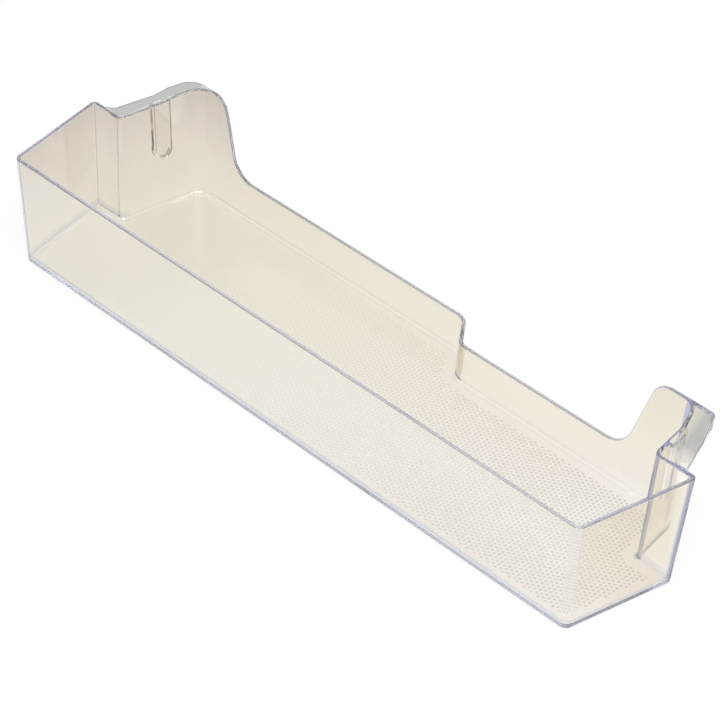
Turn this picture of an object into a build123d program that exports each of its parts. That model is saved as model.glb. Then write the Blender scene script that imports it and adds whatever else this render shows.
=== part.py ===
from build123d import *
import os
from collections import Counter
from math import cos, radians, sin, tan

# Fridge door shelf: a clear tray moulded in one piece.
# X runs along the shelf, Y from the room to the door, Z up from the underside.
# Lengths are in millimetres, angles in degrees.

# Walls
wall = 2.5                    # every upright wall
floor = 2.5                   # tray floor
rim_height = 76.5             # front wall and end walls
low_height = 28.0             # back wall between the ears
ear_rise_left = 2.0           # top of the left ear over the rim
ear_rise_right = 6.9          # top of the right ear over the rim

# Plan, outside, measured at the rim unless a line says otherwise
overall_length = 485.0        # across the back corners of the end walls
end_splay = 16.3              # how far an end wall runs out from the front to its back corner
step_depth = 77.2             # front wall to the back of the end walls
step_width_left = 25.0        # back corner of the end wall in to the recessed wall
step_width_right = 27.0
recess_taper = 8.0            # how far a recessed wall closes in towards the door
back_depth = 134.1            # front wall to the deep stretch of the back wall, at the underside
jog_depth = 20.0              # how far the shallow stretch stands forward of the deep one
jog_place = 33.0              # middle of the jog, to the right of the centre
jog_angle = 52.0              # slope of the jog in plan

# Draft of the walls
front_draft = 1.6
end_draft = 2.8
step_draft = 2.3
recess_draft = 2.5
back_draft = 2.5

# Upright corners, outside
front_corner = 5.5
end_corner = 3.4
step_corner = 2.5
rear_corner = 12.0
jog_corner_deep = 12.0
jog_corner_shallow = 8.0

# Rounded edges
base_edge = 2.6               # underside, outside
floor_edge = 2.8              # foot of the walls, inside
rim_edge = 0.9                # all along the rim, outside and inside

# Back wall line between the ears
ear_width_left = 71.0         # end of the shelf in to the ear's flank, at the low wall
ear_width_right = 77.5
ear_slope = 73.5              # flank of an ear
ear_foot_radius = 18.0
ear_top_radius = 13.0

# Hook ledge over each recess
ledge_width_left = 10.2       # past the recessed wall's outer face, at the step
ledge_width_right = 18.6
ledge_taper_left = 10.2       # how far its edge closes in towards the door
ledge_taper_right = 19.2
ledge_corner_left = 12.0      # rear corner in plan
ledge_corner_right = 4.0
ledge_root_left = 8.0         # where it leaves the step
ledge_root_right = 3.0
ledge_thickness = 2.5
sweep_place_left = 28.7       # where the rim starts to sweep up, in front of the back wall
sweep_place_right = 15.7
sweep_run_left = 9.0
sweep_run_right = 9.0
sweep_radius = 6.0

# Lug under each ledge, which drops into the door, hollowed from the rim by a core
lug_place_left = 31.2         # middle, in front of the back wall at the rim
lug_place_right = 24.7
lug_height = 3.0              # past the recessed wall's outer face
core_width = 10.0
core_thickness = 2.5
core_bottom = 36.5
lug_skin = 1.5                # left outside the core

# Web under the right ledge, in line with the back wall
web_bottom = 42.0             # where it has run out into the recessed wall

ear_height_left = rim_height + ear_rise_left
ear_height_right = rim_height + ear_rise_right
ear_foot_left = overall_length / 2 - ear_width_left
ear_foot_right = overall_length / 2 - ear_width_right
back_left = back_depth + rim_height * tan(radians(back_draft))
back_right = back_left - jog_depth
step_foot = step_depth - rim_height * tan(radians(step_draft))
top_level = max(ear_height_left, ear_height_right) + 4 * wall
beyond = 2 * overall_length
tolerance = 0.001


# The ten walls in plan, anticlockwise from the front
FRONT, RIGHT_END, RIGHT_STEP, RIGHT_RECESS, SHALLOW, JOG, DEEP, LEFT_RECESS, LEFT_STEP, LEFT_END = range(10)


def walls_at(level, with_ledges=False):
    """The ten walls at a level, or the ledges' edges in place of the recessed walls.

    Each is a point on the outer face and a heading with the inside on the left.
    """
    drop = rim_height - level
    front = drop * tan(radians(front_draft))
    end = overall_length / 2 - drop * tan(radians(end_draft))
    splay = Vector(end_splay, step_depth).normalized()
    step = step_depth - drop * tan(radians(step_draft))
    left = overall_length / 2 - step_width_left - drop * tan(radians(recess_draft))
    right = overall_length / 2 - step_width_right - drop * tan(radians(recess_draft))
    left_taper = right_taper = radians(recess_taper)
    if with_ledges:
        left += ledge_width_left
        right += ledge_width_right
        left_taper, right_taper = radians(ledge_taper_left), radians(ledge_taper_right)
    deep = back_depth + level * tan(radians(back_draft))
    shallow = deep - jog_depth
    slope = radians(180 - jog_angle)
    return [
        (Vector(0, front), Vector(1, 0)),
        (Vector(end, step_depth), Vector(splay.X, splay.Y)),
        (Vector(0, step), Vector(-1, 0)),
        (Vector(right, step_depth), Vector(-sin(right_taper), cos(right_taper))),
        (Vector(0, shallow), Vector(-1, 0)),
        (Vector(jog_place, (deep + shallow) / 2), Vector(cos(slope), sin(slope))),
        (Vector(0, deep), Vector(-1, 0)),
        (Vector(-left, step_depth), Vector(-sin(left_taper), -cos(left_taper))),
        (Vector(0, step), Vector(-1, 0)),
        (Vector(-end, step_depth), Vector(splay.X, -splay.Y)),
    ]


# Outer radius at the end of each of those walls, without the ledges and with them
corner_radii = [
    front_corner, end_corner, step_corner, rear_corner, jog_corner_shallow,
    jog_corner_deep, rear_corner, step_corner, end_corner, front_corner,
]
ledge_corner_radii = [
    front_corner, end_corner, ledge_root_right, ledge_corner_right, jog_corner_shallow,
    jog_corner_deep, ledge_corner_left, ledge_root_left, end_corner, front_corner,
]


def cross(a, b):
    """Turn from one plan direction to another, positive to the left."""
    return a.X * b.Y - a.Y * b.X


def crossing(first, second):
    """Where two plan lines meet."""
    (p, u), (q, v) = first, second
    return p + u * (cross(q - p, v) / cross(u, v))


def moved_in(line, inset):
    """A plan line moved to the inside by a distance."""
    point, heading = line
    return point + Vector(-heading.Y, heading.X) * inset, heading


def corners(level, inset, with_ledges):
    """Where each wall meets the next at a level, moved in from the outer faces."""
    walls = [moved_in(line, inset) for line in walls_at(level, with_ledges)]
    return [crossing(a, b) + Vector(0, 0, level) for a, b in zip(walls, walls[1:] + walls[:1])]


def tub(bottom, inset, with_ledges=False):
    """The drafted block from a level up, moved in from the outer faces, with rounded upright corners.

    An inner corner that is tighter than the foot of the walls stays sharp.
    """
    low, high = (corners(level, inset, with_ledges) for level in (bottom, top_level))
    rings = [[low[i - 1], low[i], high[i], high[i - 1]] for i in range(len(low))] + [low, high]
    block = Solid(Shell([Face(Wire.make_polygon(ring)) for ring in rings]))
    headings = [heading for point, heading in walls_at(bottom, with_ledges)]
    radii = ledge_corner_radii if with_ledges else corner_radii
    for i, radius in enumerate(radii):
        convex = cross(headings[i], headings[(i + 1) % len(headings)]) > 0
        radius += -inset if convex else inset
        if radius > (floor_edge if inset > 0 else 0):
            upright = block.edges().sort_by_distance((low[i] + high[i]) / 2)[0]
            block = fillet(upright, radius)
    return block


def bottom_edges(block):
    """The lowest ring of edges of a block."""
    return block.edges().group_by(Axis.Z)[0]


def rim_line(ear_height, sweep_start, sweep_run, lower):
    """The rim seen from the end, from the front wall to behind the back wall, or a line below it."""
    return FilletPolyline(
        (-beyond, rim_height - lower),
        (sweep_start, rim_height - lower),
        (sweep_start + sweep_run, ear_height - lower),
        (beyond, ear_height - lower),
        radius=sweep_radius,
    )


def half_room(line, level, reach):
    """Half of the room between a rim line and a level far above or below it, to the right or the left."""
    start, end = line @ 0, line @ 1
    close = Polyline((end.X, end.Y), (end.X, level), (start.X, level), (start.X, start.Y))
    return extrude(Plane.YZ * make_face(line.edges() + close.edges()), reach)


def room(level, lower=0.0):
    """All the room between the rim, or a line below it, and a level far above or below."""
    right_line = rim_line(ear_height_right, back_right - sweep_place_right, sweep_run_right, lower)
    left_line = rim_line(ear_height_left, back_left - sweep_place_left, sweep_run_left, lower)
    return half_room(right_line, level, beyond) + half_room(left_line, level, -beyond)


def ear_end():
    """How far the right ear reaches to the right of the centre."""
    walls = walls_at(ear_height_right, with_ledges=True)
    return crossing(walls[RIGHT_RECESS], walls[SHALLOW]).X


def above_back_wall():
    """The room above the low back wall and the two ears, from the end walls back."""
    lean = 1 / tan(radians(ear_slope))
    left_top = ear_foot_left + (ear_height_left - low_height) * lean
    right_top = ear_foot_right + (ear_height_right - low_height) * lean
    line = FilletPolyline(
        (-beyond, ear_height_left),
        (-left_top, ear_height_left),
        (-ear_foot_left, low_height),
        (ear_foot_right, low_height),
        (right_top, ear_height_right),
        (beyond, ear_height_right),
        radius=[ear_top_radius, ear_foot_radius, ear_foot_radius, ear_top_radius],
    )
    close = Polyline(
        (beyond, ear_height_right), (beyond, beyond), (-beyond, beyond), (-beyond, ear_height_left)
    )
    face = make_face(line.edges() + close.edges())
    return Pos(0, step_depth, 0) * extrude(Plane.XZ * face, -beyond)


def upright_slot(place, width, bottom, reach):
    """A slot with a round foot, from the middle of the shelf out through a recessed wall."""
    foot = bottom + width / 2
    shaft = Pos(0, (foot + top_level) / 2) * Rectangle(width, top_level - foot)
    face = Pos(0, foot) * Circle(width / 2) + shaft
    return extrude(Plane.YZ * Pos(place, 0) * face, reach)


def both_slots(width, bottom):
    """The slots of both recessed walls."""
    right = upright_slot(back_right - lug_place_right, width, bottom, overall_length / 2)
    left = upright_slot(back_left - lug_place_left, width, bottom, -overall_length / 2)
    return right + left


def web():
    """The plate under the right ledge, in line with the back wall."""
    low, high = walls_at(web_bottom), walls_at(top_level)
    foot = crossing(low[RIGHT_RECESS], low[SHALLOW])
    back = high[SHALLOW][0].Y
    front = Polyline(
        (ear_foot_right, web_bottom), (foot.X, web_bottom), (ear_end(), rim_height - ledge_thickness),
        (ear_end(), top_level), (ear_foot_right, top_level), close=True,
    )
    side = Polyline(
        (foot.Y, web_bottom), (back, top_level),
        (back - wall, top_level), (foot.Y - wall, web_bottom), close=True,
    )
    plate = extrude(Plane.YZ * make_face(side.edges()), overall_length / 2)
    return plate & extrude(Plane.XZ * make_face(front.edges()), -beyond)


def rim_edges(shape, at_cavity):
    """The edges of a shape's rim that lie on the cavity, or else those that lie off it."""
    flattest = cos(radians(ear_slope)) / 2
    tops = [
        face for face in shape.faces()
        if face.center().Z > low_height / 2 and face.normal_at(face.center()).Z > flattest
    ]
    times_met = Counter(edge for face in tops for edge in face.edges())
    return [
        edge for edge, times in times_met.items()
        if times == 1 and (cavity.distance_to(Vertex(*(edge @ 0.5))) < tolerance) == at_cavity
    ]


# The block of the tray and its ledges, with the rim line cut and its outer edge rounded
cavity = fillet(bottom_edges(tub(floor, wall)), floor_edge)
ledge_block = tub(0, 0, with_ledges=True)
shelf = ledge_block - room(beyond) - above_back_wall()
shelf = fillet(rim_edges(shelf, at_cavity=False), rim_edge)

# The room under the ledges, round the tray, the lugs and the web
lugs = both_slots(core_width + 2 * lug_skin, core_bottom - lug_skin) & tub(0, -lug_height)
behind_step = Pos(0, step_foot - wall, 0) * Box(
    beyond, beyond, beyond, align=(Align.CENTER, Align.MIN, Align.CENTER)
)
shelf -= (behind_step & room(-beyond, ledge_thickness)) - (tub(0, 0) + lugs + (web() & ledge_block))

# The tray's inside, and the edges that are left
shelf -= cavity
shelf = fillet(rim_edges(shelf, at_cavity=True), rim_edge)
shelf = fillet(bottom_edges(shelf), base_edge)

# The hollows of the lugs
core_outside = lug_skin - lug_height
core_room = tub(0, core_outside) - tub(0, core_outside + core_thickness)
shelf -= both_slots(core_width, core_bottom) & core_room

# Origin under the middle of the shelf
box = shelf.bounding_box()
shelf = Pos(-box.center().X, -box.center().Y, -box.min.Z) * shelf

os.makedirs("parts", exist_ok=True)
export_step(shelf, "parts/door_shelf.step")
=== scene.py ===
"""Looks of a clear moulded fridge door shelf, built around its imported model."""

import logging
import math
from dataclasses import dataclass, field
from enum import Enum
from typing import NamedTuple

import bmesh
import bpy
import numpy as np
from bpy.types import NodeSocket
from mathutils import Matrix, Vector
from mathutils.bvhtree import BVHTree


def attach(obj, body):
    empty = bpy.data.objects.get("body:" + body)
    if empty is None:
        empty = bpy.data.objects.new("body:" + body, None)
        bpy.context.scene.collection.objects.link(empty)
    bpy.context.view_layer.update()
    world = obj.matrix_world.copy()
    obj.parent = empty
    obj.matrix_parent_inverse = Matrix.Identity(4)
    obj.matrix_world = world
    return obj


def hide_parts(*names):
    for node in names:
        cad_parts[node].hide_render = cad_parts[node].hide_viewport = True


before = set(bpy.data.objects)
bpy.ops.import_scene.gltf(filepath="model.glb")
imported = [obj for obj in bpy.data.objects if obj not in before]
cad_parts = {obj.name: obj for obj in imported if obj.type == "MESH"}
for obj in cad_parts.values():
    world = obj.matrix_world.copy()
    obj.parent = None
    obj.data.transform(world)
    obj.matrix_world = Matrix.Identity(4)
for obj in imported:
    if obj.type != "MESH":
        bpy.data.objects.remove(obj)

log = logging.getLogger("door_shelf")

MM = 0.001
TINY = 1e-18
DOWN = Vector((0, 0, -1))

Colour = tuple[float, float, float]
Point = tuple[float, float, float]


def deselect_all() -> None:
    """Leaves edit mode and drops the selection."""
    if bpy.context.object is not None and bpy.context.object.mode != "OBJECT":
        bpy.ops.object.mode_set(mode="OBJECT")
    bpy.ops.object.select_all(action="DESELECT")


def pick(*objects: bpy.types.Object) -> None:
    """Selects objects alone and makes the first of them active.

    Args:
        objects: The objects to select.
    """
    deselect_all()
    for obj in objects:
        obj.select_set(True)
    bpy.context.view_layer.objects.active = objects[0]


def apply_modifier(obj: bpy.types.Object, kind: str, **settings: object) -> None:
    """Adds a modifier to an object and applies it.

    Args:
        obj: The object to change.
        kind: Blender's name for the type of modifier.
        settings: Values for the modifier's own fields.
    """
    pick(obj)
    modifier = obj.modifiers.new(kind.lower(), kind)
    for name, value in settings.items():
        setattr(modifier, name, value)
    bpy.ops.object.modifier_apply(modifier=modifier.name)


class Mask(str, Enum):
    """The patterns that the shelf's mesh carries, one number a face."""

    RIM = "rim"
    LEDGE = "ledge"
    # Upright corners at the ends, which take a painted dark shade.
    CORNER = "corner"
    DOT = "dot"
    INSIDE = "inside"
    FRONT = "front"


class Join(str, Enum):
    """The ways to join values, with Blender's names for them."""

    SUM = "ADD"
    DIFFERENCE = "SUBTRACT"
    PRODUCT = "MULTIPLY"
    LARGEST = "MAXIMUM"


class Fade(NamedTuple):
    """An even change from one result to another, between two values."""

    start: float
    end: float
    low: float = 0.0
    high: float = 1.0


class Place(NamedTuple):
    """Coordinates on the shelf, whole and split: along it, from front to back, and up."""

    whole: NodeSocket
    x: NodeSocket
    y: NodeSocket
    z: NodeSocket


@dataclass
class NodeBench:
    """A node tree with short ways to add the nodes of a finish."""

    tree: bpy.types.NodeTree

    def feed(self, socket: NodeSocket, value: object) -> None:
        """Links a socket to another one, or sets it to a plain value.

        Args:
            socket: The input to fill.
            value: An output socket, a number or a colour.
        """
        if isinstance(value, NodeSocket):
            self.tree.links.new(value, socket)
        else:
            socket.default_value = value

    def place(self) -> Place:
        """Adds the coordinates on the shelf.

        Returns:
            The coordinates.
        """
        whole = self.tree.nodes.new("ShaderNodeTexCoord").outputs["Object"]
        split = self.tree.nodes.new("ShaderNodeSeparateXYZ")
        self.tree.links.new(whole, split.inputs[0])
        return Place(whole, *split.outputs)

    def join(self, way: Join, first: object, *others: object) -> NodeSocket:
        """Joins values, one after the other.

        Args:
            way: How they are joined.
            first: A socket or a number.
            others: More of them.

        Returns:
            The result.
        """
        for other in others:
            node = self.tree.nodes.new("ShaderNodeMath")
            node.operation = way.value
            self.feed(node.inputs[0], first)
            self.feed(node.inputs[1], other)
            first = node.outputs[0]
        return first

    def fade(self, value: NodeSocket, fade: Fade) -> NodeSocket:
        """Carries a value through a fade.

        Args:
            value: The value.
            fade: Where it changes, and from what to what.

        Returns:
            The result.
        """
        node = self.tree.nodes.new("ShaderNodeMapRange")
        for socket, number in zip(node.inputs[1:5], fade):
            socket.default_value = number
        self.feed(node.inputs[0], value)
        return node.outputs[0]

    def noise(self, place: Place, scale: float, detail: float) -> NodeSocket:
        """Adds a soft random pattern.

        Args:
            place: The coordinates that it lies on.
            scale: Cells a metre.
            detail: How many finer layers it has.

        Returns:
            A value about one half.
        """
        node = self.tree.nodes.new("ShaderNodeTexNoise")
        node.inputs["Scale"].default_value = scale
        node.inputs["Detail"].default_value = detail
        self.feed(node.inputs["Vector"], place.whole)
        return node.outputs["Fac"]

    def blend(self, share: NodeSocket, first: object, second: object) -> NodeSocket:
        """Mixes two colours.

        Args:
            share: How much of the second there is.
            first: A socket or a colour.
            second: A socket or a colour.

        Returns:
            The mixed colour.
        """
        node = self.tree.nodes.new("ShaderNodeMix")
        node.data_type = "RGBA"
        self.feed(node.inputs["Factor"], share)
        sockets = [socket for socket in node.inputs if socket.type == "RGBA"]
        for socket, colour in zip(sockets, (first, second)):
            self.feed(socket, colour if isinstance(colour, NodeSocket) else (*colour, 1.0))
        return next(socket for socket in node.outputs if socket.type == "RGBA")

    def mask(self, name: Mask) -> NodeSocket:
        """Reads one of the patterns that the mesh carries."""
        node = self.tree.nodes.new("ShaderNodeAttribute")
        node.attribute_name = name.value
        return node.outputs["Fac"]


@dataclass(frozen=True)
class ClearPlastic:
    """Polished clear plastic: cream through a wall, lilac along the rims, with painted shade that
    deepens the cream to the left and up the walls and greys the ledges, dots, corners, foot and rims
    behind, and a painted highlight on the rims to the right.

    A wall takes its cream tint and painted shade at its inside face only, so that lugs and ledges stay
    clear. The fades say where on the shelf each tint, painted shade and painted highlight comes and
    goes.
    """

    name: str = "clear_plastic"
    # The cream tint, deepened by painted shade from the first stop to the last.
    cream_and_shade_tints: tuple[tuple[float, Colour], ...] = (
        (0.0, (1.0, 0.99, 0.955)),
        (0.18, (0.925, 0.87, 0.79)),
        (0.36, (0.89, 0.845, 0.735)),
        (0.56, (0.835, 0.785, 0.665)),
        (0.72, (0.785, 0.735, 0.65)),
        (0.9, (0.71, 0.655, 0.58)),
        (1.0, (0.64, 0.585, 0.515)),
    )
    bare_tint: Colour = (0.99, 0.99, 0.98)
    # Painted shade along the foot of the outside.
    foot_painted_shade: Colour = (0.76, 0.78, 0.88)
    # Painted shade on the upright edge at the right step.
    edge_painted_shade: Colour = (0.58, 0.58, 0.66)
    # Painted dark shade in the upright corners at the ends.
    corner_painted_shade: Colour = (0.27, 0.27, 0.28)
    # The rim: painted grey shade behind, the plastic's lilac in front, a painted highlight to the right,
    # and its blue over the right recess.
    rim_painted_shade: Colour = (0.48, 0.48, 0.46)
    rim_lilac: Colour = (0.58, 0.56, 0.74)
    rim_painted_highlight: Colour = (0.96, 0.92, 0.94)
    rim_blue: Colour = (0.22, 0.23, 0.50)
    # Painted grey shade on the ledges.
    ledge_painted_shade: Colour = (0.30, 0.30, 0.29)
    # Painted dark shade on the dots.
    dot_painted_shade: Colour = (0.38, 0.385, 0.365)
    depth_tint: Colour = (0.50, 0.49, 0.70)
    depth_density: float = 3.0
    ior: float = 1.58
    dot_grain: float = 0.12
    # The surface's grain and the flow in the walls: each noise's scale and detail, and what it gives.
    grain_noise: tuple[float, float] = (60.0, 3.0)
    grain: Fade = Fade(0.3, 0.7, 0.015, 0.05)
    flow_noise: tuple[float, float] = (26.0, 2.0)
    flow: Fade = Fade(0.3, 0.7, 0.0, 0.045)
    # How the painted shade deepens the cream tint.
    shade_to_left: Fade = Fade(240 * MM, -240 * MM, 0.03, 0.5)
    shade_up_walls: Fade = Fade(0.0, 80 * MM, 0.0, 0.45)
    end_shade: Fade = Fade(215 * MM, 235 * MM, 0.0, 0.08)
    end_shade_low: Fade = Fade(50 * MM, 20 * MM)
    ear_shade_high: Fade = Fade(30 * MM, 55 * MM, 0.0, 0.1)
    ear_shade_back: Fade = Fade(48 * MM, 58 * MM)
    # Where the tint and its painted shade stay whole: off the right hook, and off the front of the right
    # end.
    before_hook: Fade = Fade(215 * MM, 200 * MM, 0.15, 1.0)
    hook_front: Fade = Fade(3 * MM, -3 * MM)
    hook_back: Fade = Fade(25 * MM, 40 * MM)
    hook_floor: Fade = Fade(6 * MM, 3 * MM)
    corner_back: Fade = Fade(-64 * MM, -30 * MM, 0.6, 1.0)
    before_end: Fade = Fade(222 * MM, 212 * MM)
    # Where the inside of the front wall takes the cream tint and its painted shade.
    front_right: Fade = Fade(80 * MM, 220 * MM, 0.0, 0.5)
    front_low: Fade = Fade(60 * MM, 20 * MM)
    front_end: Fade = Fade(195 * MM, 232 * MM, 0.0, 0.45)
    # The painted shade along the foot of the outside.
    foot_top: Fade = Fade(7.6 * MM, 6.4 * MM)
    foot_bottom: Fade = Fade(0.1 * MM, 0.6 * MM)
    foot_back: Fade = Fade(12 * MM, 6 * MM)
    # The painted shade on the upright edge at the right step, and how far the two walls that meet there
    # lean.
    step_lean: float = 0.0445
    end_lean: float = 0.0489
    edge_behind: Fade = Fade(-1.4 * MM, 0.1 * MM)
    edge_beside: Fade = Fade(232.5 * MM, 233.8 * MM)
    # Where the rim's tint, painted shade and painted highlight lie, and how they change along the rim.
    rim_high: Fade = Fade(55 * MM, 72 * MM)
    rim_step: Fade = Fade(20 * MM, 14 * MM)
    rim_before_hook: Fade = Fade(205 * MM, 200 * MM)
    lilac_front: Fade = Fade(20 * MM, -20 * MM)
    highlight_right: Fade = Fade(-220 * MM, 50 * MM)
    highlight_front: Fade = Fade(-58 * MM, -64 * MM)
    blue_right: Fade = Fade(195 * MM, 205 * MM)
    blue_back: Fade = Fade(2 * MM, 8 * MM)
    # The painted shade on the ledges and the dots.
    ledge_outward: Fade = Fade(212 * MM, 219 * MM, 0.4, 1.0)
    ledge_back: Fade = Fade(10 * MM, 24 * MM, 0.1, 1.0)
    ledge_left: Fade = Fade(100 * MM, 0.0)
    dot_shade_along: Fade = Fade(-100 * MM, 200 * MM, 0.06, 0.72)

    def cream_and_shade(self, bench: NodeBench, place: Place) -> NodeSocket:
        """The cream tint with painted shade, which deepens it to the left and up the walls, with faint
        flow in it.

        It fades over the right hook, where the eye looks through several walls at once, and towards the
        front right corner.

        Args:
            bench: The material's nodes.
            place: Coordinates on the shelf.

        Returns:
            The tint with its painted shade.
        """
        x, y, z = place.x, place.y, place.z
        end = bench.join(Join.PRODUCT, bench.fade(x, self.end_shade), bench.fade(z, self.end_shade_low))
        ears = bench.join(
            Join.PRODUCT, bench.fade(z, self.ear_shade_high), bench.fade(y, self.ear_shade_back)
        )
        flow = bench.fade(bench.noise(place, *self.flow_noise), self.flow)
        total = bench.join(
            Join.SUM, bench.fade(x, self.shade_to_left), end, bench.fade(z, self.shade_up_walls), ears, flow
        )
        off_hook = bench.join(
            Join.LARGEST, bench.fade(x, self.before_hook), bench.fade(y, self.hook_front),
            bench.fade(y, self.hook_back), bench.fade(z, self.hook_floor),
        )
        off_corner = bench.join(
            Join.LARGEST, bench.fade(y, self.corner_back), bench.fade(x, self.before_end)
        )
        kept = bench.join(Join.PRODUCT, off_hook, off_corner)
        ramp = bench.tree.nodes.new("ShaderNodeValToRGB")
        stops = ramp.color_ramp.elements
        while len(stops) < len(self.cream_and_shade_tints):
            stops.new(1.0)
        # Light takes the root of the base colour at each face, and a wall has one inside face.
        for stop, (position, colour) in zip(stops, self.cream_and_shade_tints):
            stop.position = position
            stop.color = (*(part ** 2 for part in colour), 1.0)
        bench.feed(ramp.inputs["Fac"], bench.join(Join.PRODUCT, total, kept))
        return ramp.outputs["Color"]

    def rim(self, bench: NodeBench, place: Place) -> NodeSocket:
        """The rim's colour: painted grey shade behind, lilac in front, a painted highlight that pales it
        to the right, and blue over the right recess.

        Args:
            bench: The material's nodes.
            place: Coordinates on the shelf.

        Returns:
            The tint.
        """
        x, y = place.x, place.y
        tint = bench.blend(bench.fade(y, self.lilac_front), self.rim_painted_shade, self.rim_lilac)
        highlight_share = bench.join(Join.PRODUCT, bench.fade(x, self.highlight_right), bench.fade(y, self.highlight_front))
        tint = bench.blend(highlight_share, tint, self.rim_painted_highlight)
        hook = bench.join(Join.PRODUCT, bench.fade(x, self.blue_right), bench.fade(y, self.blue_back))
        return bench.blend(hook, tint, self.rim_blue)

    def foot_shade_share(self, bench: NodeBench, place: Place) -> NodeSocket:
        """How far the painted shade along the foot covers the outside of a wall.

        Args:
            bench: The material's nodes.
            place: Coordinates on the shelf.

        Returns:
            The share.
        """
        return bench.join(
            Join.PRODUCT, bench.fade(place.z, self.foot_top), bench.fade(place.z, self.foot_bottom),
            bench.fade(place.y, self.foot_back),
        )

    def cream_and_shade_share(self, bench: NodeBench, place: Place) -> NodeSocket:
        """How far the cream tint and its painted shade cover a face: wholly inside the tray, but partly
        on the front wall.

        Args:
            bench: The material's nodes.
            place: Coordinates on the shelf.

        Returns:
            The share.
        """
        low = bench.join(
            Join.PRODUCT, bench.fade(place.x, self.front_right), bench.fade(place.z, self.front_low)
        )
        low = bench.join(Join.LARGEST, low, bench.fade(place.x, self.front_end))
        front = bench.join(Join.PRODUCT, low, bench.mask(Mask.FRONT))
        return bench.join(Join.LARGEST, bench.mask(Mask.INSIDE), front)

    def edge_shade_share(self, bench: NodeBench, place: Place) -> NodeSocket:
        """How far the painted shade covers the upright edge between the right end wall and its step.

        Args:
            bench: The material's nodes.
            place: Coordinates on the shelf.

        Returns:
            The share.
        """
        behind = bench.join(Join.DIFFERENCE, place.y, bench.join(Join.PRODUCT, place.z, self.step_lean))
        beside = bench.join(Join.DIFFERENCE, place.x, bench.join(Join.PRODUCT, place.z, self.end_lean))
        return bench.join(
            Join.PRODUCT, bench.fade(behind, self.edge_behind), bench.fade(beside, self.edge_beside)
        )

    def rim_share(self, bench: NodeBench, place: Place) -> NodeSocket:
        """How far the rim's tint, painted shade and painted highlight cover a face, which at the right
        rear corner is near the rim alone.

        Args:
            bench: The material's nodes.
            place: Coordinates on the shelf.

        Returns:
            The share.
        """
        off_ledge = bench.join(Join.DIFFERENCE, 1.0, bench.mask(Mask.LEDGE))
        near = bench.join(
            Join.LARGEST, bench.fade(place.z, self.rim_high), bench.fade(place.y, self.rim_step),
            bench.fade(place.x, self.rim_before_hook),
        )
        return bench.join(Join.PRODUCT, bench.mask(Mask.RIM), off_ledge, near)

    def ledge_shade_share(self, bench: NodeBench, place: Place) -> NodeSocket:
        """How far a ledge takes the painted grey shade: all over on the left, outwards and towards the
        door on the right.

        Args:
            bench: The material's nodes.
            place: Coordinates on the shelf.

        Returns:
            The share.
        """
        right = bench.join(
            Join.PRODUCT, bench.fade(place.x, self.ledge_outward), bench.fade(place.y, self.ledge_back)
        )
        either = bench.join(Join.LARGEST, right, bench.fade(place.x, self.ledge_left))
        return bench.join(Join.PRODUCT, bench.mask(Mask.LEDGE), either)

    def tint(self, bench: NodeBench, place: Place) -> NodeSocket:
        """Lays the tints of the walls and rims and the painted shade and highlight of the walls, foot,
        edge, corners, rims, ledges and dots over each other.

        Args:
            bench: The material's nodes.
            place: Coordinates on the shelf.

        Returns:
            The colour of the plastic.
        """
        tint = bench.blend(self.foot_shade_share(bench, place), self.bare_tint, self.foot_painted_shade)
        tint = bench.blend(self.cream_and_shade_share(bench, place), tint, self.cream_and_shade(bench, place))
        tint = bench.blend(self.edge_shade_share(bench, place), tint, self.edge_painted_shade)
        tint = bench.blend(bench.mask(Mask.CORNER), tint, self.corner_painted_shade)
        tint = bench.blend(self.rim_share(bench, place), tint, self.rim(bench, place))
        tint = bench.blend(self.ledge_shade_share(bench, place), tint, self.ledge_painted_shade)
        # The dots' painted dark shade, stronger to the right.
        dots = bench.join(Join.PRODUCT, bench.mask(Mask.DOT), bench.fade(place.x, self.dot_shade_along))
        return bench.blend(dots, tint, self.dot_painted_shade)

    def material(self) -> bpy.types.Material:
        """Builds the finish.

        Returns:
            The material.
        """
        made = bpy.data.materials.new(self.name)
        made.use_nodes = True
        bench = NodeBench(made.node_tree)
        nodes = bench.tree.nodes
        place = bench.place()
        grain = bench.fade(bench.noise(place, *self.grain_noise), self.grain)
        matt = bench.join(Join.PRODUCT, bench.mask(Mask.DOT), self.dot_grain)
        shader = nodes["Principled BSDF"]
        # The base colour holds the plastic's tints with painted shade and painted highlights.
        bench.feed(shader.inputs["Base Color"], self.tint(bench, place))
        bench.feed(shader.inputs["Roughness"], bench.join(Join.LARGEST, grain, matt))
        shader.inputs["IOR"].default_value = self.ior
        shader.inputs["Transmission Weight"].default_value = 1.0
        inside = nodes.new("ShaderNodeVolumeAbsorption")
        inside.inputs["Color"].default_value = (*self.depth_tint, 1.0)
        inside.inputs["Density"].default_value = self.depth_density
        bench.tree.links.new(inside.outputs["Volume"], nodes["Material Output"].inputs["Volume"])
        return made


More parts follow.
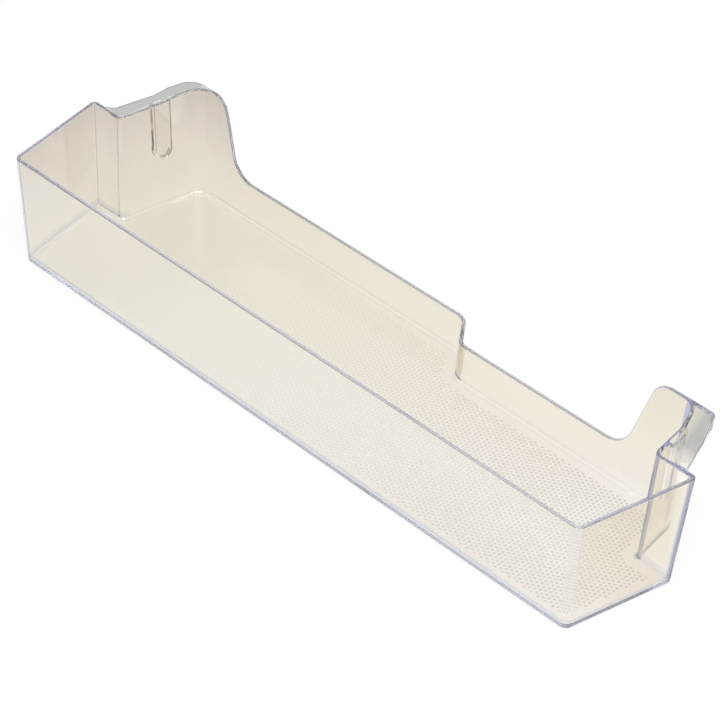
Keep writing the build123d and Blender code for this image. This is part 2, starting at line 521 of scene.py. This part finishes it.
@dataclass(frozen=True)
class DotPattern:
    """The raised dots on the top of the floor, close-packed in rows from front to back."""

    pitch: float = 3.0 * MM
    base_inset: float = 0.65 * MM
    flank: float = 0.35 * MM
    height: float = 0.15 * MM
    margin: float = 4.5 * MM
    sides: int = 6
    turn: float = math.radians(30)

    @property
    def row_step(self) -> float:
        """Distance between neighbouring rows."""
        return self.pitch * math.sqrt(3) / 2

    @property
    def radius(self) -> float:
        """Reach of a dot from the middle of its cell."""
        return self.pitch / 2 - self.base_inset

    def one_cell(self) -> bpy.types.Object:
        """Models one six-sided cell of the floor with its dot.

        Returns:
            The cell's object.
        """
        deselect_all()
        bpy.ops.mesh.primitive_circle_add(
            vertices=self.sides, radius=self.pitch / math.sqrt(3), fill_type="NGON",
            rotation=(0, 0, self.turn),
        )
        cell = bpy.context.object
        bpy.ops.object.transform_apply(location=False, rotation=True, scale=False)
        bpy.ops.object.mode_set(mode="EDIT")
        bpy.ops.mesh.select_all(action="SELECT")
        bpy.ops.mesh.inset(thickness=self.base_inset)
        bpy.ops.mesh.inset(thickness=self.flank, depth=self.height)
        bpy.ops.object.mode_set(mode="OBJECT")
        return cell

    def panel(self, low: Vector, high: Vector) -> bpy.types.Object:
        """Repeats the cell over a rectangle of the floor.

        Args:
            low: The rectangle's lowest corner, at the floor's top.
            high: Its highest corner.

        Returns:
            The panel's object, at the origin.
        """
        cell = self.one_cell()
        pick(cell)
        bpy.ops.object.duplicate()
        second = bpy.context.object
        second.data.transform(Matrix.Translation((self.row_step, self.pitch / 2, 0)))
        pick(cell, second)
        bpy.ops.object.join()
        period = 2 * self.row_step
        for count, offset in (
            (math.ceil((high.x - low.x) / period), (period, 0, 0)),
            (math.ceil((high.y - low.y) / self.pitch), (0, self.pitch, 0)),
        ):
            apply_modifier(
                cell, "ARRAY", count=count, use_relative_offset=False,
                use_constant_offset=True, constant_offset_displace=offset,
            )
        cell.data.transform(Matrix.Translation((low.x, low.y, low.z)))
        return cell

    def cell_centres(self, points: np.ndarray, low: Vector) -> np.ndarray:
        """The centre of the cell that each point of a panel lies in.

        Args:
            points: Points of the panel in plan, one a row.
            low: The panel's first cell.

        Returns:
            The centres, one a row.
        """
        best = np.full(len(points), np.inf)
        centres = np.zeros_like(points)
        for shift in ((0.0, 0.0), (self.row_step, self.pitch / 2)):
            first = np.array([low.x, low.y]) + shift
            period = np.array([2 * self.row_step, self.pitch])
            nearest = first + np.round((points - first) / period) * period
            away = np.linalg.norm(points - nearest, axis=1)
            closer = away < best
            best[closer], centres[closer] = away[closer], nearest[closer]
        return centres


def inside_by(points: np.ndarray, starts: np.ndarray, ends: np.ndarray) -> np.ndarray:
    """How far points lie inside a closed outline, negative outside.

    Args:
        points: Points in plan, one a row.
        starts: Where each edge of the outline starts.
        ends: Where each ends.

    Returns:
        The distance of each point.
    """
    nearest = np.full(len(points), np.inf)
    inside = np.zeros(len(points), bool)
    for start, end in zip(starts, ends):
        along = end - start
        share = np.clip((points - start) @ along / max(along @ along, TINY), 0, 1)
        away = np.linalg.norm(points - start - share[:, None] * along, axis=1)
        nearest = np.minimum(nearest, away)
        spans = (start[1] > points[:, 1]) != (end[1] > points[:, 1])
        if start[1] != end[1]:
            crossing = start[0] + (points[:, 1] - start[1]) / (end[1] - start[1]) * along[0]
            inside ^= spans & (points[:, 0] < crossing)
    return np.where(inside, nearest, -nearest)


@dataclass
class Shelf:
    """The moulded shelf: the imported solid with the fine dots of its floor."""

    node: str = "door_shelf"
    slot: str = "clear_plastic"
    dots: DotPattern = field(default_factory=DotPattern)
    smooth_angle: float = math.radians(35)
    normal_weight: int = 100
    # What counts as level, and how near two points are one.
    flat: float = 0.9999
    level_digits: int = 5
    level_slack: float = 0.1 * MM
    merge: float = 0.0003 * MM
    # The tray's middle line, which inside faces look at.
    lift: float = 0.05 * MM
    middle_reach: float = 190 * MM
    middle_depth: float = -20 * MM
    middle_height: float = 30 * MM
    # Where the patterns of the finish start.
    front_depth: float = -50 * MM
    rim_tilt: float = 0.1
    rim_clear: float = 8 * MM
    ledge_depth: float = 6 * MM
    end_start: float = 228 * MM
    step_back: float = 8.6 * MM
    # How strong the painted corner shade is at the step.
    turned: float = 0.35
    step_corner_shade_share: float = 0.5
    hook_start: float = 190 * MM
    hook_turned: float = 0.22

    def copy_of_node(self) -> bpy.types.Object:
        """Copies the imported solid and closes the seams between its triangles.

        Returns:
            The copy.
        """
        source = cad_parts[self.node]
        shelf = bpy.data.objects.new("shelf", source.data.copy())
        bpy.context.scene.collection.objects.link(shelf)
        pick(shelf)
        bpy.ops.mesh.customdata_custom_splitnormals_clear()
        # The operator can't merge this finely, and a coarser merge folds the thinnest triangles over.
        work = bmesh.new()
        work.from_mesh(shelf.data)
        bmesh.ops.remove_doubles(work, verts=work.verts, dist=self.merge)
        work.to_mesh(shelf.data)
        work.free()
        return shelf

    def floor_level(self, mesh: bpy.types.Mesh) -> float:
        """Height of the floor's top, the largest level face that looks up.

        Args:
            mesh: The shelf's mesh.

        Returns:
            The height.
        """
        areas: dict[float, float] = {}
        for face in mesh.polygons:
            if face.normal.z > self.flat:
                level = round(face.center.z, self.level_digits)
                areas[level] = areas.get(level, 0.0) + face.area
        return max(areas, key=areas.get)

    def marks(self, face: bpy.types.MeshPolygon, solid: BVHTree, lowest: float) -> dict[Mask, float]:
        """How far each pattern covers a face.

        A face looks into the tray when nothing hides it from the tray's middle line. The inside of the
        front wall is a pattern of its own, as it takes the cream tint and its painted shade only towards
        the right. A ledge is a stretch of rim with its underside close below. The upright corners at the
        ends count as corners, which take a painted dark shade, half as strong at the step, but not the
        front right one, and the upright corners inside the right hook count as rim.

        Args:
            face: The face.
            solid: The shelf, to look along lines in.
            lowest: Where the rim may start.

        Returns:
            One value a pattern.
        """
        normal, (x, y, z) = face.normal, face.center
        start = face.center + normal * self.lift
        along = max(-self.middle_reach, min(self.middle_reach, start.x))
        way = Vector((along, self.middle_depth, max(start.z, self.middle_height))) - start
        inside = solid.ray_cast(start, way.normalized(), way.length)[0] is None
        front = inside and y < self.front_depth and normal.y > self.turned
        rim = normal.z > self.rim_tilt and z > lowest
        under = face.center - normal * self.lift
        ledge = rim and solid.ray_cast(under, DOWN, self.ledge_depth)[0] is not None
        turned = min(abs(normal.x), abs(normal.y)) > self.turned
        at_end = y < self.front_depth or (abs(x) > self.end_start and y < self.step_back)
        corner = turned and at_end and not inside and not (normal.x > 0 > normal.y)
        facing = max(normal.x, normal.y) < -self.hook_turned
        hook = inside and x > self.hook_start and y > 0 and facing
        return {
            Mask.INSIDE: float(inside and not front),
            Mask.FRONT: float(front),
            Mask.RIM: float(rim or hook),
            Mask.LEDGE: float(ledge),
            Mask.CORNER: corner * (1.0 if y < 0 else self.step_corner_shade_share),
        }

    def mark(self, shelf: bpy.types.Object, lowest: float) -> None:
        """Gives the mesh the patterns that the finish follows.

        Args:
            shelf: The shelf with its dots.
            lowest: Where the rim may start.
        """
        solid = BVHTree.FromObject(shelf, bpy.context.evaluated_depsgraph_get())
        rows = [self.marks(face, solid, lowest) for face in shelf.data.polygons]
        for name in rows[0]:
            layer = shelf.data.attributes.new(name.value, "FLOAT", "FACE")
            layer.data.foreach_set("value", [row[name] for row in rows])

    def open_floor(self, shelf: bpy.types.Object, level: float) -> tuple[np.ndarray, np.ndarray]:
        """Takes the top of the floor off.

        Args:
            shelf: The closed copy of the solid.
            level: Height of the floor's top.

        Returns:
            Where each edge round the opening starts, in plan, and where each ends.
        """
        work = bmesh.new()
        work.from_mesh(shelf.data)
        top = [
            face for face in work.faces
            if face.normal.z > self.flat and abs(face.calc_center_median().z - level) < self.level_slack
        ]
        bmesh.ops.delete(work, geom=top, context="FACES")
        rim = [edge for edge in work.edges if edge.is_boundary]
        starts = np.array([edge.verts[0].co.xy for edge in rim])
        ends = np.array([edge.verts[1].co.xy for edge in rim])
        work.to_mesh(shelf.data)
        work.free()
        return starts, ends

    def close_floor(self, shelf: bpy.types.Object) -> None:
        """Fills the plain strip of floor between the walls and the dots.

        Args:
            shelf: The open shelf, joined with its panel of dots.
        """
        pick(shelf)
        bpy.ops.object.mode_set(mode="EDIT")
        bpy.ops.mesh.select_mode(type="EDGE")
        bpy.ops.mesh.select_all(action="DESELECT")
        bpy.ops.mesh.select_non_manifold(
            extend=False, use_wire=False, use_boundary=True, use_multi_face=False,
            use_non_contiguous=False, use_verts=False,
        )
        bpy.ops.mesh.fill(use_beauty=True)
        bpy.ops.mesh.select_all(action="SELECT")
        bpy.ops.mesh.normals_make_consistent(inside=False)
        bpy.ops.object.mode_set(mode="OBJECT")

    def add_dots(self, shelf: bpy.types.Object) -> None:
        """Puts the dotted panel into the top of the floor.

        Args:
            shelf: The closed copy of the solid.
        """
        level = self.floor_level(shelf.data)
        starts, ends = self.open_floor(shelf, level)
        low = Vector((*starts.min(axis=0), level))
        high = Vector((*starts.max(axis=0), level))
        panel = self.dots.panel(low, high)
        self.trim(panel, low, starts, ends)
        pick(shelf, panel)
        bpy.ops.object.join()
        self.close_floor(shelf)

    def trim(self, panel: bpy.types.Object, low: Vector, starts: np.ndarray, ends: np.ndarray) -> None:
        """Marks a panel's dots, and takes off the cells that come too near the foot of a wall.

        Args:
            panel: The panel of cells.
            low: The panel's first cell.
            starts: Where each edge round the floor starts.
            ends: Where each ends.
        """
        work = bmesh.new()
        work.from_mesh(panel.data)
        points = np.array([face.calc_center_median().xy for face in work.faces])
        centres = self.dots.cell_centres(points, low)
        raised = work.faces.layers.float.new(Mask.DOT.value)
        for face, away in zip(work.faces, np.linalg.norm(points - centres, axis=1)):
            face[raised] = float(away < self.dots.radius)
        kept = inside_by(centres, starts, ends) > self.dots.margin
        extra = [face for face, keep in zip(work.faces, kept) if not keep]
        bmesh.ops.delete(work, geom=extra, context="FACES")
        bmesh.ops.remove_doubles(work, verts=work.verts, dist=self.merge)
        work.to_mesh(panel.data)
        work.free()

    def build(self) -> bpy.types.Object:
        """Models and dresses the shelf.

        Returns:
            The finished piece.
        """
        shelf = self.copy_of_node()
        lowest = self.floor_level(shelf.data) + self.rim_clear
        self.add_dots(shelf)
        self.mark(shelf, lowest)
        pick(shelf)
        bpy.ops.object.shade_smooth_by_angle(angle=self.smooth_angle)
        apply_modifier(shelf, "WEIGHTED_NORMAL", keep_sharp=True, weight=self.normal_weight)
        shelf.data.materials.clear()
        shelf.data.materials.append(ClearPlastic().material())
        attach(shelf, "root")
        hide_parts(self.node)
        return shelf


@dataclass
class Stage:
    """A plain white floor, the soft light and the surroundings."""

    floor_width: float = 12.0
    floor_grey: Colour = (0.8, 0.8, 0.8)
    floor_drop: float = 0.5 * MM
    share: float = 0.9
    surround: float = 0.85
    bounces: int = 64
    lamp_place: Point = (0.7, -0.6, 1.7)
    lamp_size: float = 1.2
    lamp_power: float = 26.0

    def seen_directly(self, bench: NodeBench) -> NodeSocket:
        """One for a ray that carries a picture: from the camera, off a gloss or through clear plastic.

        Args:
            bench: The nodes to add to.

        Returns:
            The socket with the mask.
        """
        rays = bench.tree.nodes.new("ShaderNodeLightPath").outputs
        return bench.join(
            Join.LARGEST, rays["Is Camera Ray"], rays["Is Glossy Ray"], rays["Is Transmission Ray"]
        )

    def add_floor(self) -> None:
        """Adds the floor, white to the eye, with a soft shadow."""
        deselect_all()
        bpy.ops.mesh.primitive_plane_add(size=self.floor_width)
        floor = bpy.context.object
        floor.name = "stage_floor"
        made = bpy.data.materials.new("white_floor")
        made.use_nodes = True
        bench = NodeBench(made.node_tree)
        nodes, links = bench.tree.nodes, bench.tree.links
        lit = nodes["Principled BSDF"]
        lit.inputs["Base Color"].default_value = (*self.floor_grey, 1.0)
        lit.inputs["Roughness"].default_value = 1.0
        lit.inputs["Specular IOR Level"].default_value = 0.0
        white = nodes.new("ShaderNodeEmission")
        white.inputs["Strength"].default_value = 1.0
        mix = nodes.new("ShaderNodeMixShader")
        bench.feed(mix.inputs["Fac"], bench.join(Join.PRODUCT, self.seen_directly(bench), self.share))
        links.new(lit.outputs["BSDF"], mix.inputs[1])
        links.new(white.outputs["Emission"], mix.inputs[2])
        links.new(mix.outputs["Shader"], nodes["Material Output"].inputs["Surface"])
        floor.data.materials.append(made)
        floor.location.z = -self.floor_drop

    def add_world(self) -> None:
        """Sets the surroundings: white to the camera, a soft grey otherwise."""
        world = bpy.data.worlds.new("soft_room")
        bpy.context.scene.world = world
        world.use_nodes = True
        bench = NodeBench(world.node_tree)
        back = bench.tree.nodes["Background"]
        back.inputs["Color"].default_value = (1, 1, 1, 1)
        camera_ray = bench.tree.nodes.new("ShaderNodeLightPath").outputs["Is Camera Ray"]
        level = bench.fade(camera_ray, Fade(0.0, 1.0, self.surround, 1.0))
        bench.feed(back.inputs["Strength"], level)

    def add_lamp(self) -> None:
        """Adds a soft square lamp that looks at the shelf."""
        lamp = bpy.data.lights.new("key", "AREA")
        lamp.size = self.lamp_size
        lamp.energy = self.lamp_power
        stand = bpy.data.objects.new("key", lamp)
        stand.location = self.lamp_place
        stand.rotation_euler = (-Vector(self.lamp_place)).to_track_quat("-Z", "Y").to_euler()
        bpy.context.scene.collection.objects.link(stand)

    def build(self) -> None:
        """Adds the floor, the surroundings and the lamp, and sets how far light is followed."""
        self.add_floor()
        self.add_world()
        self.add_lamp()
        bpy.context.scene.view_settings.view_transform = "Standard"
        cycles = bpy.context.scene.cycles
        cycles.max_bounces = cycles.transmission_bounces = cycles.glossy_bounces = self.bounces


@dataclass(frozen=True)
class View:
    """The camera: where it looks, from which side and how far."""

    aim: Point = (0.02164, -0.01988, 0.040)
    azimuth: float = 43.394
    elevation: float = 38.680
    roll: float = 2.53
    distance: float = 1.4811
    lens: float = 129.8
    sensor: float = 36.0

    def build(self) -> None:
        """Adds the camera and makes it the scene's."""
        around, up = math.radians(self.azimuth), math.radians(self.elevation)
        back = Vector((math.sin(around) * math.cos(up), -math.cos(around) * math.cos(up), math.sin(up)))
        camera = bpy.data.cameras.new("camera")
        camera.lens = self.lens
        camera.sensor_width = self.sensor
        eye = bpy.data.objects.new("camera", camera)
        roll = Matrix.Rotation(math.radians(self.roll), 3, "Z")
        turn = (-back).to_track_quat("-Z", "Y").to_matrix() @ roll
        eye.matrix_world = Matrix.Translation(Vector(self.aim) + back * self.distance) @ turn.to_4x4()
        bpy.context.scene.collection.objects.link(eye)
        bpy.context.scene.camera = eye


def main() -> None:
    """Builds the shelf, the stage and the camera."""
    logging.basicConfig(level=logging.INFO, format="%(name)s: %(message)s")
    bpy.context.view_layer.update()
    shelf = Shelf().build()
    log.info("%s: %d faces", shelf.name, len(shelf.data.polygons))
    Stage().build()
    View().build()


if __name__ == "__main__":
    main()
